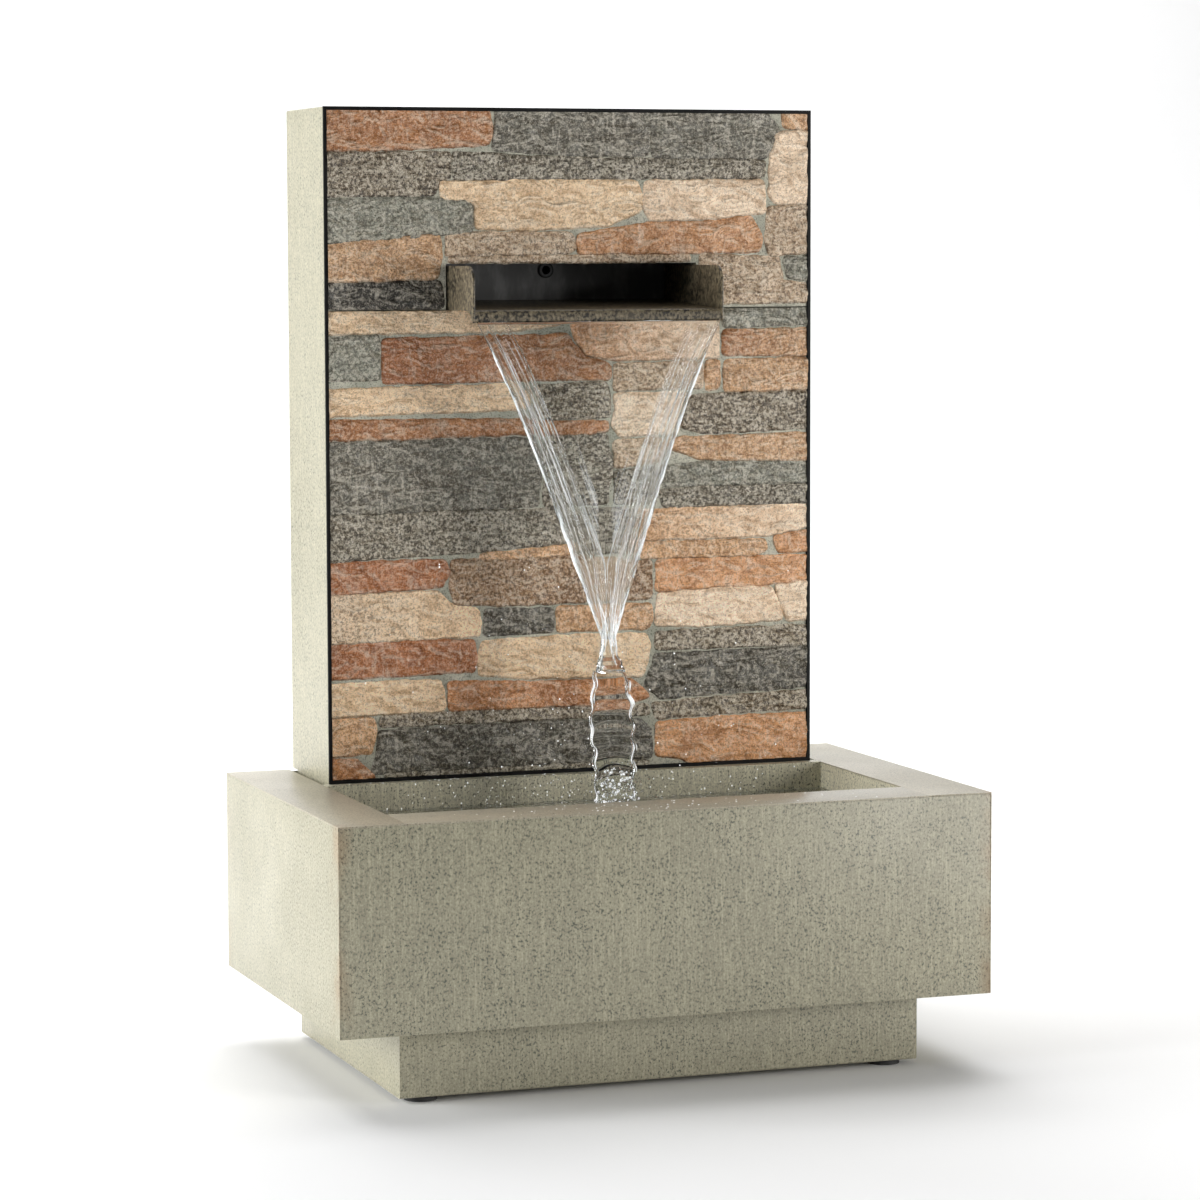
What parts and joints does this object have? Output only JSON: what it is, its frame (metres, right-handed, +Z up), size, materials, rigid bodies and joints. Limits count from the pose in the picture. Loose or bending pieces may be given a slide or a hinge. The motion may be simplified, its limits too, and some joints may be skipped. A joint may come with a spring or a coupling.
{
  "type": "tabletop water fountain",
  "caption": "Tabletop fountain: speckled sheet-steel basin on a plinth, stone-tiled tower with a folded spout, and a pump that lifts the pool's water.",
  "frame": {"origin": "middle of the whole object's box, on the surface that the foot pads stand on", "axes": "+Z up, +X to the right seen from the front, +Y towards the tower's back; the spout and the pool face -Y"},
  "size_m": [0.5, 0.3196, 0.709],
  "materials": {
    "speckled_steel": "semi-gloss speckled coating",
    "black_trim": "satin black",
    "stone_tile": "matt stone-look porcelain in mixed tones",
    "backing_board": "matt",
    "fasteners": "brushed stainless",
    "rubber": "matt",
    "pump_plastic": "moulded, satin",
    "dial_plastic": "moulded, satin",
    "impeller_plastic": "moulded, satin",
    "hose_pvc": "smooth flexible hose",
    "magnet": "ferrite, matt",
    "ceramic_shaft": "polished",
    "water": "clear moving water"
  },
  "bodies": {
    "fountain": {"plinth_front": "speckled_steel", "plinth_back": "speckled_steel", "plinth_left": "speckled_steel", "plinth_right": "speckled_steel", "plinth_bolts": "fasteners", "foot_pads": "rubber", "foot_screws": "fasteners", "basin_floor": "speckled_steel", "basin_front_wall": "speckled_steel", "basin_back_wall": "speckled_steel", "basin_left_wall": "speckled_steel", "basin_right_wall": "speckled_steel", "rim_front": "speckled_steel", "rim_left": "speckled_steel", "rim_right": "speckled_steel", "tank_trough": "speckled_steel", "tank_left_end": "speckled_steel", "tank_right_end": "speckled_steel", "tank_supports": "speckled_steel", "pump_partition": "speckled_steel", "tower_shell": "speckled_steel", "tower_back_cover": "speckled_steel", "cover_screws": "fasteners", "tower_brackets": "fasteners", "tower_bolts": "fasteners", "tile_frame": "black_trim", "backer_board": "backing_board", "tile_upper": "stone_tile", "tile_lower": "stone_tile", "spout_chute": "speckled_steel", "weir_box": "black_trim", "weir_screws": "fasteners", "inlet_grommet": "rubber", "inlet_elbow": "pump_plastic", "hose": "hose_pvc", "hose_clamps": "fasteners", "pump_body": "pump_plastic", "pump_volute": "pump_plastic", "pump_intake_cover": "pump_plastic", "impeller_shaft": "ceramic_shaft", "shaft_bushes": "rubber", "suction_cups": "rubber", "pump_cord_gland": "rubber", "cable_grommet": "rubber"},
    "rotor": {"impeller": "impeller_plastic", "rotor_magnet": "magnet"},
    "dial": {"flow_dial": "dial_plastic"}
  },
  "joints": [
    {"name": "rotor_spin", "type": "hinge", "parent": "fountain", "child": "rotor", "pos_m": [0, 0.1032, 0.0962], "axis": [1, 0, 0], "continuous": true},
    {"name": "dial_turn", "type": "hinge", "parent": "fountain", "child": "dial", "pos_m": [-0.028, 0.1032, 0.0962], "axis": [1, 0, 0], "range_deg": [-45, 45]}
  ]
}
